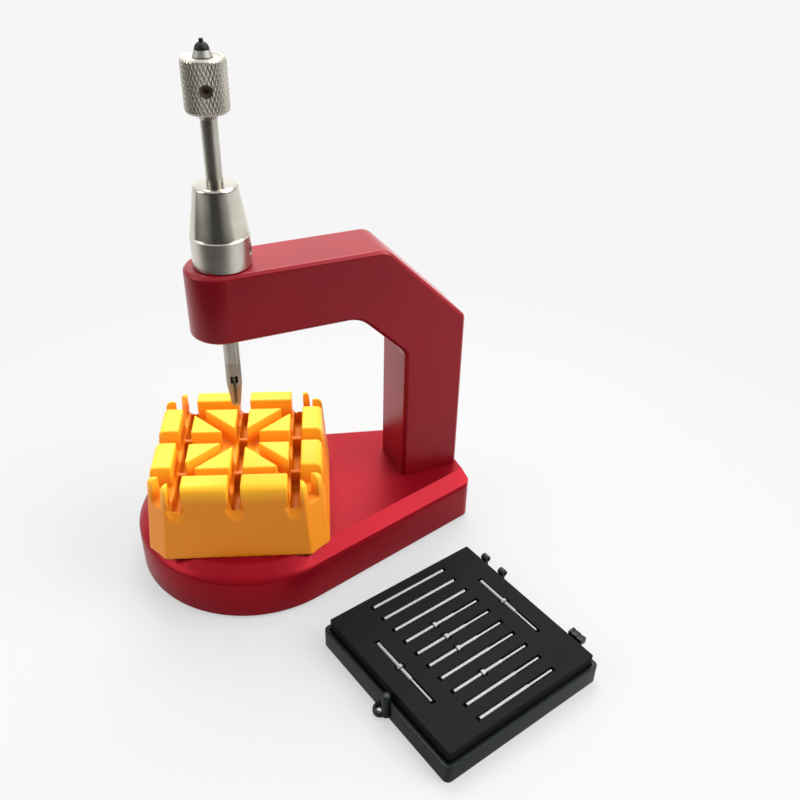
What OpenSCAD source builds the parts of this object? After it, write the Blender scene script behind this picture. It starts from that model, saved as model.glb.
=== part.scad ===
// Bench press for pushing the link pins out of a watch strap, with its box of spare push pins.
// The origin is where the plunger's axis meets the table. X runs back along the arm to the column.

/* [Base plate] */
// Radius of the base plate's round front
base_front_r = 33.3; // [32:0.1:38]
// Distance from the plunger's axis back to the centre of the round front
base_front_x = 2; // [0:0.5:5]
// Angle at which each side runs in toward the back
base_taper = 15.5; // [12:0.5:17]
// Distance from the plunger's axis back to the plate's back edge
base_back_x = 67.6; // [67:0.2:74]
// Radius of the two back corners
base_corner_r = 4; // [3:0.5:5]
// Height of the plate's top face above the table
base_top_z = 16.1; // [14:0.1:20]
// Height of the bevel that runs round the top face
bevel_h = 3.2; // [2:0.1:5]
// Width of that bevel along the front and the sides
bevel_w = 4.65; // [3:0.05:6]
// Width of that bevel along the back
bevel_back_w = 1.2; // [0.5:0.1:1.4]
// Width and height of the softened lower edge of the bevel
bevel_soft = 0.7; // [0.3:0.1:1.2]
// Chamfer round the plate's underside
base_foot_chamfer = 0.5; // [0.2:0.1:1]
// Thickness of the anti-slip sheet under the plate
pad_t = 0.6; // [0.4:0.1:1.2]
// How far the sheet stays inside the plate's edge
pad_inset = 1.5; // [1:0.25:3]

/* [Arm] */
// Width of the arm and of the column
arm_w = 16.6; // [16.2:0.1:18]
// How far the middle of the arm's round nose lies in front of the plunger
nose_ahead = 1.7; // [0.5:0.1:3]
// Height of the arm's underside above the table
arm_under_z = 73.9; // [68:0.1:78]
// Height of the arm's section
arm_h = 18.9; // [16:0.1:22]
// Distance from the plunger's axis back to the start of the top slope
arm_top_x = 41.7; // [38:0.1:44]
// Distance from the plunger's axis back to the start of the slope under the arm
arm_under_x = 33.9; // [31:0.1:35]
// Distance from the plunger's axis back to the column's inner face
column_in_x = 47.6; // [46.5:0.1:49]
// Depth of the column from its inner face to its back
column_d = 18.5; // [17:0.1:19]
// Height above the table at which the outer slope ends on the column's back
slope_out_z = 68.6; // [60:0.1:74]
// Height above the table at which the inner slope ends on the column
slope_in_z = 60.3; // [54:0.1:63]
// Chamfer along the edges of the arm and the column
arm_edge = 0.8; // [0.4:0.1:1.4]
// Radius of the bend where the arm's top meets the slope
arm_top_bend_r = 5; // [3:0.5:7]
// Radius of the bend where the slope meets the column's back
arm_back_bend_r = 2.5; // [2:0.25:4]
// Radius of the bend where the slope under the arm starts
arm_under_bend_r = 8; // [4:0.5:9]
// Radius of the bend where that slope meets the column
column_bend_r = 4.4; // [3:0.2:6]

/* [Column screws] */
// Radius of each screw's shank
bolt_r = 2.5; // [2:0.1:3]
// Radius of each screw's head
bolt_head_r = 4.25; // [4:0.05:4.6]
// Height of each screw's head
bolt_head_h = 5; // [4:0.1:6]
// Radius of the hexagon socket in a head
bolt_socket_r = 2.3; // [2:0.05:2.6]
// Length of screw inside the column
bolt_grip = 14; // [8:0.5:20]
// Distance between the two screws
bolt_spacing = 9.4; // [9.2:0.1:10]
// Gap between a screw and its hole
bolt_play = 0.05; // [0.02:0.01:0.1]

/* [Guide in the arm] */
// Outer radius of the threaded guide bush
bush_r = 5; // [4.6:0.1:5.2]
// Height of the bush above the arm's top face
bush_rise = 13.2; // [11:0.1:14]
// Length of the close bore at the foot of the bush
bush_guide_h = 2.6; // [2:0.1:3]
// Gap all round between pieces that are screwed or pressed together
seat_play = 0.02; // [0.01:0.01:0.05]
// Gap all round between pieces that run in each other
run_play = 0.05; // [0.03:0.01:0.1]
// Radius of the lock collar and of the housing's foot
collar_r = 7.4; // [7:0.1:8]
// Height of the lock collar
collar_h = 8.3; // [6:0.1:9]
// Width of the small bevel on the collar's edges
collar_edge = 0.35; // [0.2:0.05:0.6]
// Radius at the top of the housing's cone
housing_top_r = 5.4; // [5:0.1:6.2]
// Height of the housing above the collar
housing_h = 12.4; // [12.4:0.1:15]
// Radius of the rounded edge round the housing's top
housing_edge_r = 0.9; // [0.5:0.1:1.2]
// Thickness of the housing's end wall, which the shank runs through
housing_wall = 2.4; // [2:0.1:2.8]

/* [Spindle] */
// Radius of the smooth shank under the knob
shank_r = 2; // [1.8:0.1:2.2]
// Radius of the threaded stretch inside the bush
thread_r = 3; // [2.8:0.1:3.2]
// Length of the threaded stretch
thread_h = 16; // [12:0.5:16]
// Height of the threaded stretch's foot above the arm's underside, at rest
thread_rise = 18.1; // [18:0.1:20]
// Radius of the lower shaft and of the pin holder
shaft_r = 2.1; // [1.9:0.1:2.3]
// Height above the table of the shoulder under the knob, at rest
shoulder_z = 128.9; // [128:0.1:134]
// Radius of the journal that carries the knob
journal_r = 1.5; // [1.3:0.1:1.6]

/* [Knob] */
// Radius over the knob's ridges
knob_r = 5.3; // [4.8:0.1:6.5]
// Length of the knob's knurled barrel
knob_h = 12; // [10:0.1:13]
// Number of ridges round the knob
knob_ridges = 44; // [24:1:60]
// Depth of the grooves between the ridges
knob_groove = 0.3; // [0.15:0.05:0.5]
// Height of the plain rim at each end of the barrel
knob_rim = 0.5; // [0.3:0.1:0.8]
// How far the rims lie inside the bottom of the grooves
knob_rim_in = 0.15; // [0.1:0.05:0.3]
// Length of the knob's neck
neck_h = 1.5; // [1:0.1:2.5]
// Radius of the neck
neck_r = 2.1; // [2:0.1:2.6]
// Radius of the set screws in the knob and in the collar
grub_r = 1.5; // [1.2:0.1:1.8]
// Depth of a set screw's end below the knob's surface
grub_sunk = 1.1; // [0.6:0.1:1.6]
// Height of the knob's set screw above the foot of the barrel
knob_grub_rise = 5.6; // [3:0.1:7.5]
// Direction in which the knob's set screw faces
knob_grub_turn = -102; // [-180:1:180]
// Direction in which the collar's set screw faces
collar_grub_turn = -27; // [-180:1:180]
// Radius of the end nut where it meets the knob
nut_r = 2.3; // [2:0.1:3]
// Radius of the end nut under its cap
nut_top_r = 1.75; // [1.7:0.05:2.1]
// Height of the end nut
nut_h = 1.4; // [1:0.1:2.4]
// Radius of the domed end cap
cap_r = 1.7; // [1.5:0.05:2]
// Height of the domed end cap
cap_h = 1.7; // [1.2:0.1:2.2]
// Radius of the small tip on the cap
tip_r = 0.5; // [0.3:0.05:0.7]
// Height of the small tip above the cap
tip_h = 0.6; // [0.4:0.1:1.2]

/* [Pin holder] */
// Height above the table of the pin holder's lower end, at rest
nose_z = 50.4; // [48:0.1:54]
// Length of the pin holder below its joint with the shaft
nose_h = 14; // [13:0.5:16]
// Length of the taper at the pin holder's end
nose_taper_h = 7; // [5:0.5:8]
// Radius of the pin holder's lower end
nose_end_r = 1.25; // [1.1:0.05:1.5]
// Length of the stem that screws into the shaft
stem_h = 5; // [4:0.5:7]
// Radius of that stem
stem_r = 1.3; // [1.2:0.05:1.4]
// Radius of the push pin above its collar
pin_tail_r = 0.42; // [0.35:0.01:0.5]
// Radius of the push pin below its collar
pin_tip_r = 0.32; // [0.25:0.01:0.4]
// Radius of the push pin's collar
pin_collar_r = 0.7; // [0.6:0.05:0.8]
// Height of the push pin's collar
pin_collar_h = 0.6; // [0.4:0.05:0.8]
// Height of the collar's underside above the pin holder's lower end
pin_collar_rise = 7.9; // [7.2:0.1:9]
// Length of the push pin above its collar
pin_tail_h = 5; // [3:0.5:6]
// Length of the push pin that shows below the pin holder
pin_reach = 0.6; // [0.3:0.1:1.5]
// Width of the open window round the collar
window_w = 2; // [1.8:0.1:2.4]
// Height of that window
window_h = 2.2; // [1.8:0.1:3]
// Direction in which the slot and the window face
slot_turn = -102; // [-180:1:180]

/* [Strap holder] */
// Width of the strap holder at its foot
holder_w = 50; // [47:0.5:51]
// Height of the strap holder
holder_h = 23.4; // [21:0.1:25]
// How far each side leans in from the foot to the top
holder_draft = 1.9; // [1:0.1:2.5]
// Length cut off along each side at the four corners
holder_corner = 5.1; // [4:0.1:6]
// Radius of the rounded edge round the top
holder_edge_r = 1.8; // [1:0.1:2.2]
// Width of the straight slots
slot_w = 3.4; // [2.8:0.1:3.6]
// Width of the wider slot that runs across the middle
wide_slot_w = 5.2; // [4.4:0.1:5.6]
// Distance from the middle slot to the slot on each side of it
slot_pitch = 15.75; // [15:0.05:16.5]
// Width of the two diagonal slots
diagonal_w = 3.5; // [3.2:0.1:4]
// Depth of the slots
slot_depth = 7.2; // [5:0.1:9]
// Width of the wells in the bottom of the lengthwise slots
well_w = 2.4; // [2:0.1:2.6]
// Depth of the wells below the slots
well_d = 5; // [3:0.5:5.5]
// Thickness of the ribs between the wells
well_rib_t = 1.4; // [1:0.1:2]
// Thickness of the lip between a well and the holder's side
well_lip = 1; // [0.8:0.1:1.6]
// How far the mouth of each slot runs down the side
mouth_drop = 3; // [1.5:0.1:3.6]
// How far in the mouth's ramp starts
mouth_in = 1.2; // [0.8:0.1:1.6]
// Width of a mouth at the bottom of its slot
mouth_w = 4.8; // [4:0.1:5]
// Width of a mouth at its lower end
mouth_low_w = 2.6; // [2:0.1:3.2]
// How much lower the inner wedges stand than the outer blocks
wedge_drop = 0.6; // [0.3:0.1:1]
// Wall of the hollow underside
holder_wall = 2.6; // [2.4:0.1:3]
// Radius of the boss that turns on the peg
boss_r = 8; // [7:0.5:10]
// Thickness of the ribs inside
rib_t = 1.8; // [1.2:0.1:2.4]
// Angle at which the holder is turned at rest
holder_turn = -20; // [-45:1:45]
// Radius of the peg that the holder turns on
peg_r = 3; // [2.5:0.1:3.5]
// Height of the peg above the base plate
peg_rise = 8; // [6:0.5:8.5]
// Depth of the peg in the base plate
peg_sunk = 9; // [6:0.5:11]

/* [Pin box] */
// Distance from the plunger's axis back to the middle of the box
box_x = 37.5; // [30:0.5:60]
// Distance from the plunger's axis sideways to the middle of the box
box_y = -67.1; // [-90:0.1:-66]
// Angle at which the box lies
box_turn = 13; // [5:1:20]
// Width of the box shell
shell_w = 51; // [50:0.5:60]
// Length of the box shell
shell_l = 52.8; // [52:0.2:60]
// Height of the box shell
shell_h = 5.6; // [5:0.1:7]
// Radius of the shell's corners
shell_corner_r = 2.4; // [2:0.1:4]
// Wall and floor of the shell
shell_wall = 1.2; // [1:0.1:1.4]
// Height of the insert's top face above the table
insert_z = 9; // [8:0.1:11]
// Gap between the insert and the shell's walls
insert_play = 0.3; // [0.2:0.05:0.5]
// Thickness of the insert's top
insert_t = 2.2; // [2:0.1:3]
// Thickness of the insert's side walls
insert_wall = 1.4; // [1:0.1:2]
// Length of the pins laid side by side
spare_l = 24; // [20:0.5:25]
// Distance from each end of the insert to the nearest of those pins
row_margin = 3.3; // [2.9:0.1:4.5]
// Length of the two pins laid across the others
cross_l = 22; // [18:0.5:24]
// Distance from the box's middle to each of those two pins
cross_x = 18.2; // [17.5:0.1:19]
// Radius of a spare pin's thick part
spare_r = 0.54; // [0.45:0.01:0.58]
// Radius of a spare pin's thin end
spare_tip_r = 0.36; // [0.28:0.01:0.4]
// Length of a spare pin's thin end
spare_tip_l = 8; // [6:0.5:10]
// Radius of a spare pin's collar
spare_collar_r = 0.95; // [0.8:0.05:1.1]
// Length of a spare pin's collar
spare_collar_l = 0.9; // [0.6:0.1:1.2]
// Distance from a spare pin's thick end to its collar
spare_collar_x = 9; // [7:0.5:10]
// Depth of the troughs for the pins
trough_d = 0.9; // [0.85:0.05:1.2]
// Width of the troughs
trough_w = 1.4; // [1.2:0.1:1.8]
// Length of a trough beyond each end of its pin
trough_extra = 0.9; // [0.5:0.1:1.4]
// Radius of the hinge ears
ear_r = 1.3; // [1.1:0.1:1.5]
// Length of each hinge ear
ear_l = 2.4; // [2:0.1:3]
// Distance from the box's middle to the nearer ear
ear_y = 11.9; // [9:0.1:14]
// Distance between the two ears
ear_pitch = 7.1; // [5:0.1:8]
// Distance from the box's middle to the far end of the hinge block
block_y = 19.8; // [16:0.2:22]
// Length of the hinge block
block_l = 5.4; // [4:0.2:7]
// How far the hinge block stands out from the shell
block_out = 2.1; // [1.2:0.1:2.4]
// Height of the hinge block
block_h = 2.8; // [2:0.2:4.4]
// Thickness of the latch loop
loop_t = 1.6; // [1.2:0.1:2]
// Radius of the latch loop
loop_r = 2; // [1.8:0.1:2.4]
// Width of the catch on the latch side
catch_w = 4.4; // [3:0.2:6]
// Height of the catch
catch_h = 2.6; // [2:0.1:3.2]
// How far the catch stands out from the shell
catch_out = 0.9; // [0.6:0.1:1.2]

/* [Hidden] */
$fn = 64;
eps = 0.5;
red = [0.66, 0.08, 0.12];
steel = [0.78, 0.77, 0.74];
yellow = [0.96, 0.66, 0.14];
black = [0.13, 0.12, 0.13];

base_under_z = pad_t;
base_side_z = base_top_z - bevel_h;
corner_steps = 8;

arm_top_z = arm_under_z + arm_h;
column_out_x = column_in_x + column_d;
bend_steps = 8;
bolt_x = [for (side = [-1, 1]) column_in_x + (column_d + side * bolt_spacing) / 2];
// Depth of the screw heads below the plate's underside, and the drill's run beyond the screws
bolt_head_sunk = 0.2;
bolt_drill_extra = 1;

collar_top_z = arm_top_z + collar_h;
housing_top_z = collar_top_z + housing_h;
bush_top_z = arm_top_z + bush_rise;
housing_wall_z = housing_top_z - housing_wall;

thread_z = arm_under_z + thread_rise;
thread_top_z = thread_z + thread_h;
thread_ease = 0.3;
knob_z = shoulder_z + neck_h;
knob_top_z = knob_z + knob_h;
grub_z = knob_z + knob_grub_rise;
collar_grub_z = arm_top_z + collar_h / 2;
grub_socket_r = 0.55 * grub_r;
// Part of a set screw's length that its socket takes, and the play at the end of a blind bore
grub_socket_part = 0.45;
end_play = 0.3;
nut_top_z = knob_top_z + nut_h;
journal_top_z = knob_top_z + nut_h / 2;

nose_top_z = nose_z + nose_h;
pin_collar_z = nose_z + pin_collar_rise;
window_z = pin_collar_z - run_play;

holder_top_z = base_top_z + holder_h;
slot_floor_h = holder_h - slot_depth;
peg_bore_h = peg_rise + 1;
well_floor_h = slot_floor_h - well_d;
hollow_h = well_floor_h - holder_wall;
// Height above the slots at which the mouths have narrowed to the slots again
mouth_rise = 1.2;

insert_w = shell_w - 2 * (shell_wall + insert_play);
insert_l = shell_l - 2 * (shell_wall + insert_play);
pin_z = insert_z - trough_d + spare_r;
// Rows of the box in which each kind of pin lies, counted from the back
plain_rows = [0, 1, 2];
stepped_rows = [6, 8, 9];
collared_rows = [3, 4, 5, 7];
row_count = len(plain_rows) + len(stepped_rows) + len(collared_rows);
row_pitch = (insert_l - 2 * row_margin) / (row_count - 1);
// How far one of the two cross pins lies nearer the back than the other, and the clear space round a collar
cross_shift = 1;
collar_clear = 0.4;

// Solid through rings of points, all of one count; an end that isn't convex is split into convex faces
module loft(rings, caps = undef) {
    n = len(rings[0]);
    m = len(rings);
    end_faces = is_undef(caps) ? [[for (i = [0:n - 1]) i]] : caps;
    polyhedron(
        points = [for (ring = rings) for (p = ring) p],
        faces = concat(
            end_faces,
            [for (k = [0:m - 2]) for (i = [0:n - 1])
                [k * n + i, (k + 1) * n + i, (k + 1) * n + (i + 1) % n, k * n + (i + 1) % n]],
            [for (face = end_faces) [for (i = [len(face) - 1:-1:0]) (m - 1) * n + face[i]]]));
}

// Plan of the base plate behind its round front, moved inward: straight sides and rounded back corners
function base_back_points(inset) =
    let (r = base_front_r - inset,
        cx = base_back_x - inset - base_corner_r,
        cy = (r - base_corner_r - sin(base_taper) * (cx - base_front_x)) / cos(base_taper),
        front = [base_front_x + r * sin(base_taper), r * cos(base_taper)],
        corner = [for (k = [0:corner_steps]) let (a = (90 - base_taper) * (1 - k / corner_steps))
            [cx + base_corner_r * cos(a), cy + base_corner_r * sin(a)]])
    concat([front], corner, [for (k = [corner_steps:-1:0]) [corner[k][0], -corner[k][1]]],
        [[front[0], -front[1]]]);

module base_outline_solid(inset, z, h) {
    translate([base_front_x, 0, z]) cylinder(r = base_front_r - inset, h = h);
    translate([0, 0, z]) linear_extrude(h) polygon(base_back_points(inset));
}

// What the bevel and the foot chamfer take off an edge that lies at a distance, as a profile
module edge_profile(at, w) {
    slope = w / bevel_h;
    soft_in = bevel_soft * slope / 2;
    polygon([[at + soft_in, base_side_z - 2.5 * bevel_soft], [at - soft_in, base_side_z + bevel_soft / 2],
        [at - w - eps * slope, base_top_z + eps], [at + 2 * eps, base_top_z + eps],
        [at + 2 * eps, base_side_z - 2.5 * bevel_soft]]);
    polygon([[at - base_foot_chamfer - eps, base_under_z - eps], [at + eps, base_under_z - eps],
        [at + eps, base_under_z + base_foot_chamfer + eps]]);
}

module straight_edge_cut(at, w, from, length) {
    translate([0, from + length, 0]) rotate([90, 0, 0]) linear_extrude(length) edge_profile(at, w);
}

// Outline moved inward by a distance of its own for each edge; the points run clockwise
function inset_points(pts, d) =
    let (n = len(pts))
    [for (i = [0:n - 1])
        let (a = pts[(i + n - 1) % n], b = pts[i], c = pts[(i + 1) % n],
            u = (b - a) / norm(b - a), v = (c - b) / norm(c - b),
            nu = [u[1], -u[0]], nv = [v[1], -v[0]],
            du = nu * b + d[(i + n - 1) % n], dv = nv * b + d[i],
            det = nu[0] * nv[1] - nu[1] * nv[0])
        [(du * nv[1] - dv * nu[1]) / det, (nu[0] * dv - nv[0] * du) / det]];

// Arc of a given radius that rounds the corner at b between the points a and c
function bend(a, b, c, r) =
    let (u = (a - b) / norm(a - b), v = (c - b) / norm(c - b), half = acos(u * v) / 2,
        centre = b + (u + v) / norm(u + v) * r / sin(half),
        from = b + u * r / tan(half) - centre, side = cross(u, v) > 0 ? -1 : 1)
    [for (k = [0:bend_steps]) let (t = side * (180 - 2 * half) * k / bend_steps)
        centre + [from[0] * cos(t) - from[1] * sin(t), from[0] * sin(t) + from[1] * cos(t)]];

// Octagon of the strap holder, given half its width and its corner cut
function corner_cut(half, cut) =
    [[half, cut - half], [half, half - cut], [half - cut, half], [cut - half, half],
     [-half, half - cut], [-half, cut - half], [cut - half, -half], [half - cut, -half]];

function at_height(pts, z) = [for (p = pts) [p[0], p[1], z]];

module rounded_plate(w, l, r, h) {
    linear_extrude(h) {
        square([w - 2 * r, l], center = true);
        square([w, l - 2 * r], center = true);
        for (x = [-1, 1], y = [-1, 1]) translate([x * (w / 2 - r), y * (l / 2 - r)]) circle(r);
    }
}

module base_plate() {
    reach = 2 * base_back_x;
    color(red) difference() {
        base_outline_solid(0, base_under_z, base_top_z - base_under_z);
        translate([base_front_x, 0, 0]) {
            rotate([0, 0, 90 - base_taper]) rotate_extrude(angle = 180 + 2 * base_taper)
                edge_profile(base_front_r, bevel_w);
            for (side = [0, 1]) mirror([0, side, 0]) rotate([0, 0, base_taper - 90])
                straight_edge_cut(base_front_r, bevel_w, 0, reach);
        }
        straight_edge_cut(base_back_x, bevel_back_w, -base_front_r, 2 * base_front_r);
        for (x = bolt_x) translate([x, 0, 0]) {
            cylinder(r = bolt_r + bolt_play, h = base_top_z + eps);
            cylinder(r = bolt_head_r + bolt_play, h = base_under_z + bolt_head_h + bolt_head_sunk);
        }
        translate([0, 0, base_top_z - peg_sunk]) cylinder(r = peg_r + seat_play, h = peg_sunk + eps);
    }
}

module base_pad() {
    color(black) base_outline_solid(pad_inset, 0, pad_t);
}

module arm_frame() {
    half = arm_w / 2;
    top = [[-nose_ahead, arm_top_z], [arm_top_x, arm_top_z], [column_out_x, slope_out_z], [column_out_x, base_top_z]];
    under = [[-nose_ahead, arm_under_z], [arm_under_x, arm_under_z], [column_in_x, slope_in_z],
        [column_in_x, base_top_z]];
    top_line = concat([top[0]], bend(top[0], top[1], top[2], arm_top_bend_r),
        bend(top[1], top[2], top[3], arm_back_bend_r), [top[3]]);
    under_line = concat([under[0]], bend(under[0], under[1], under[2], arm_under_bend_r),
        bend(under[1], under[2], under[3], column_bend_r), [under[3]]);
    foot = len(top_line) - 1;
    nose = 2 * foot + 1;
    outline = concat(top_line, [for (k = [foot:-1:0]) under_line[k]]);
    inner = inset_points(outline, [for (k = [0:nose]) k == foot || k == nose ? 0 : arm_edge]);
    sides = [for (k = [0:foot - 1]) [k, k + 1, nose - 1 - k, nose - k]];
    color(red) difference() {
        union() {
            loft([
                [for (p = inner) [p[0], -half, p[1]]],
                [for (p = outline) [p[0], arm_edge - half, p[1]]],
                [for (p = outline) [p[0], half - arm_edge, p[1]]],
                [for (p = inner) [p[0], half, p[1]]]], sides);
            translate([-nose_ahead, 0, 0]) rotate_extrude() polygon([
                [0, arm_under_z], [half - arm_edge, arm_under_z], [half, arm_under_z + arm_edge],
                [half, arm_top_z - arm_edge], [half - arm_edge, arm_top_z], [0, arm_top_z]]);
        }
        translate([0, 0, arm_under_z - eps]) cylinder(r = bush_r + seat_play, h = arm_h + 2 * eps);
        for (x = bolt_x) translate([x, 0, base_top_z - eps])
            cylinder(r = bolt_r + bolt_play, h = bolt_grip + bolt_drill_extra + eps);
    }
}

module column_screws() {
    color(steel) for (x = bolt_x) translate([x, 0, base_under_z + bolt_head_sunk]) difference() {
        union() {
            cylinder(r = bolt_head_r, h = bolt_head_h);
            cylinder(r = bolt_r, h = base_top_z - base_under_z - bolt_head_sunk + bolt_grip);
        }
        translate([0, 0, -eps]) cylinder(r = bolt_socket_r, h = bolt_head_h / 2 + eps, $fn = 6);
    }
}

module holder_peg() {
    chamfer = 0.5;
    color(steel) translate([0, 0, base_top_z - peg_sunk]) rotate_extrude() polygon([
        [0, 0], [peg_r - chamfer, 0], [peg_r, chamfer], [peg_r, peg_sunk + peg_rise - chamfer],
        [peg_r - chamfer, peg_sunk + peg_rise], [0, peg_sunk + peg_rise]]);
}

module guide_bush() {
    guide_z = arm_under_z + bush_guide_h;
    color("#b9994f") rotate_extrude() polygon([
        [shaft_r + run_play, arm_under_z], [bush_r, arm_under_z], [bush_r, bush_top_z],
        [thread_r + run_play, bush_top_z], [thread_r + run_play, guide_z], [shaft_r + run_play, guide_z]]);
}

// Radial hole or screw that faces the given direction at a height
module radial(turn, z, from, to, r) {
    translate([0, 0, z]) rotate([0, 0, turn]) translate([from, 0, 0]) rotate([0, 90, 0])
        cylinder(r = r, h = to - from);
}

// Set screw with a hexagon socket in its outer end
module set_screw(turn, z, from, to) {
    socket_d = (to - from) * grub_socket_part;
    difference() {
        radial(turn, z, from, to, grub_r);
        translate([0, 0, z]) rotate([0, 0, turn]) translate([to - socket_d, 0, 0]) rotate([0, 90, 0])
            cylinder(r = grub_socket_r, h = socket_d + eps, $fn = 6);
    }
}

module lock_collar() {
    bore = bush_r + seat_play;
    color(steel) difference() {
        rotate_extrude() polygon([
            [bore, arm_top_z], [collar_r - collar_edge, arm_top_z], [collar_r, arm_top_z + collar_edge],
            [collar_r, collar_top_z - collar_edge], [collar_r - collar_edge, collar_top_z],
            [bore, collar_top_z]]);
        radial(collar_grub_turn, collar_grub_z, bush_r, collar_r + eps, grub_r + seat_play);
    }
}

module collar_set_screw() {
    color(steel) set_screw(collar_grub_turn, collar_grub_z, bush_r + seat_play, collar_r - collar_edge);
}

module housing_cone() {
    bore = bush_r + seat_play;
    slope = atan((collar_r - housing_top_r) / housing_h);
    edge = housing_edge_r;
    edge_z = housing_top_z - edge;
    edge_x = housing_top_r + edge * tan(slope) - edge / cos(slope);
    edge_steps = 8;
    round_edge = [for (k = [0:edge_steps]) let (a = slope + (90 - slope) * k / edge_steps)
        [edge_x + edge * cos(a), edge_z + edge * sin(a)]];
    color(steel) rotate_extrude() polygon(concat(
        [[bore, collar_top_z], [collar_r - collar_edge, collar_top_z],
            [collar_r, collar_top_z + collar_edge]],
        round_edge,
        [[shank_r + run_play, housing_top_z], [shank_r + run_play, housing_wall_z],
            [thread_r + run_play, housing_wall_z], [thread_r + run_play, bush_top_z], [bore, bush_top_z]]));
}

module spindle() {
    color(steel) difference() {
        rotate_extrude() polygon([
            [0, nose_top_z], [shaft_r, nose_top_z], [shaft_r, thread_z],
            [thread_r, thread_z + 3 * thread_ease], [thread_r, thread_top_z - thread_ease],
            [shank_r, thread_top_z], [shank_r, shoulder_z], [journal_r, shoulder_z],
            [journal_r, journal_top_z], [0, journal_top_z]]);
        translate([0, 0, nose_top_z - eps]) cylinder(r = stem_r + seat_play, h = stem_h + end_play + eps);
    }
}

module knob() {
    root_r = knob_r - knob_groove;
    rim_r = root_r - knob_rim_in;
    chamfer = 0.7 * knob_rim;
    color(steel) difference() {
        union() {
            rotate_extrude() polygon([
                [0, shoulder_z], [neck_r, shoulder_z], [neck_r, knob_z], [rim_r - chamfer, knob_z],
                [rim_r, knob_z + chamfer], [rim_r, knob_top_z - chamfer], [rim_r - chamfer, knob_top_z],
                [0, knob_top_z]]);
            translate([0, 0, knob_z + knob_rim]) linear_extrude(knob_h - 2 * knob_rim) polygon([
                for (k = [0:2 * knob_ridges - 1])
                    let (a = 180 * k / knob_ridges, r = k % 2 == 0 ? knob_r : root_r)
                    [r * cos(a), r * sin(a)]]);
        }
        translate([0, 0, shoulder_z - eps])
            cylinder(r = journal_r + seat_play, h = neck_h + knob_h + 2 * eps);
        radial(knob_grub_turn, grub_z, journal_r, knob_r + eps, grub_r + seat_play);
    }
}

module knob_set_screw() {
    color(steel) set_screw(knob_grub_turn, grub_z, journal_r + seat_play, knob_r - grub_sunk);
}

module end_nut() {
    color(steel) difference() {
        rotate_extrude()
            polygon([[0, knob_top_z], [nut_r, knob_top_z], [nut_top_r, nut_top_z], [0, nut_top_z]]);
        translate([0, 0, knob_top_z - eps])
            cylinder(r = journal_r + seat_play, h = journal_top_z - knob_top_z + end_play + eps);
    }
}

module end_cap() {
    sphere_r = (cap_r * cap_r + cap_h * cap_h) / (2 * cap_h);
    color("#3a3c3e") {
        rotate_extrude() intersection() {
            translate([0, nut_top_z + cap_h - sphere_r]) circle(sphere_r);
            translate([0, nut_top_z]) square([cap_r + eps, cap_h + eps]);
        }
        translate([0, 0, nut_top_z + cap_h / 2]) cylinder(r = tip_r, h = cap_h / 2 + tip_h);
    }
}

module pin_holder() {
    slot = 2 * pin_tip_r + run_play;
    window_in = pin_collar_r + 4 * run_play;
    edge = 0.13;
    color(steel) difference() {
        rotate_extrude() polygon([
            [0, nose_z], [nose_end_r - edge, nose_z], [nose_end_r, nose_z + edge],
            [shaft_r, nose_z + nose_taper_h],
            [shaft_r, nose_top_z - edge], [shaft_r - edge, nose_top_z], [stem_r, nose_top_z],
            [stem_r, nose_top_z + stem_h], [0, nose_top_z + stem_h]]);
        translate([0, 0, nose_z - eps]) cylinder(r = pin_tip_r + run_play, h = pin_collar_rise + eps);
        translate([0, 0, pin_collar_z + pin_collar_h / 2])
            cylinder(r = pin_tail_r + run_play, h = pin_collar_h / 2 + pin_tail_h + end_play);
        rotate([0, 0, slot_turn]) {
            translate([0, -slot / 2, nose_z - eps]) cube([shaft_r + eps, slot, pin_collar_rise + eps]);
            translate([-window_in, -window_w / 2, window_z])
                cube([window_in + shaft_r + eps, window_w, window_h]);
        }
    }
}

module push_pin() {
    color(steel) rotate_extrude() polygon([
        [0, nose_z - pin_reach], [pin_tip_r, nose_z - pin_reach], [pin_tip_r, pin_collar_z],
        [pin_collar_r, pin_collar_z], [pin_collar_r, pin_collar_z + pin_collar_h],
        [pin_tail_r, pin_collar_z + pin_collar_h], [pin_tail_r, pin_collar_z + pin_collar_h + pin_tail_h],
        [0, pin_collar_z + pin_collar_h + pin_tail_h]]);
}

// Outer form of the strap holder: leaning sides and a rounded edge round the top
module holder_block() {
    half = holder_w / 2;
    side_h = holder_h - holder_edge_r;
    side_half = half - holder_draft * side_h / holder_h;
    edge_steps = 4;
    loft(concat(
        [at_height(corner_cut(half, holder_corner), 0)],
        [for (k = [0:edge_steps])
            let (a = 90 * k / edge_steps, in = holder_edge_r * (1 - cos(a)), cut = holder_corner - in / 2)
            at_height(corner_cut(side_half - in, cut), side_h + holder_edge_r * sin(a))]));
}

// Plan of a mouth at one height, given its width there and how far it runs in from the holder's side
function mouth_ring(x, face, w, in, z) =
    at_height([[x - w / 2, -face - mouth_in], [x + w / 2, -face - mouth_in], [x + w / 2, in - face],
        [x - w / 2, in - face]], z);

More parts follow.
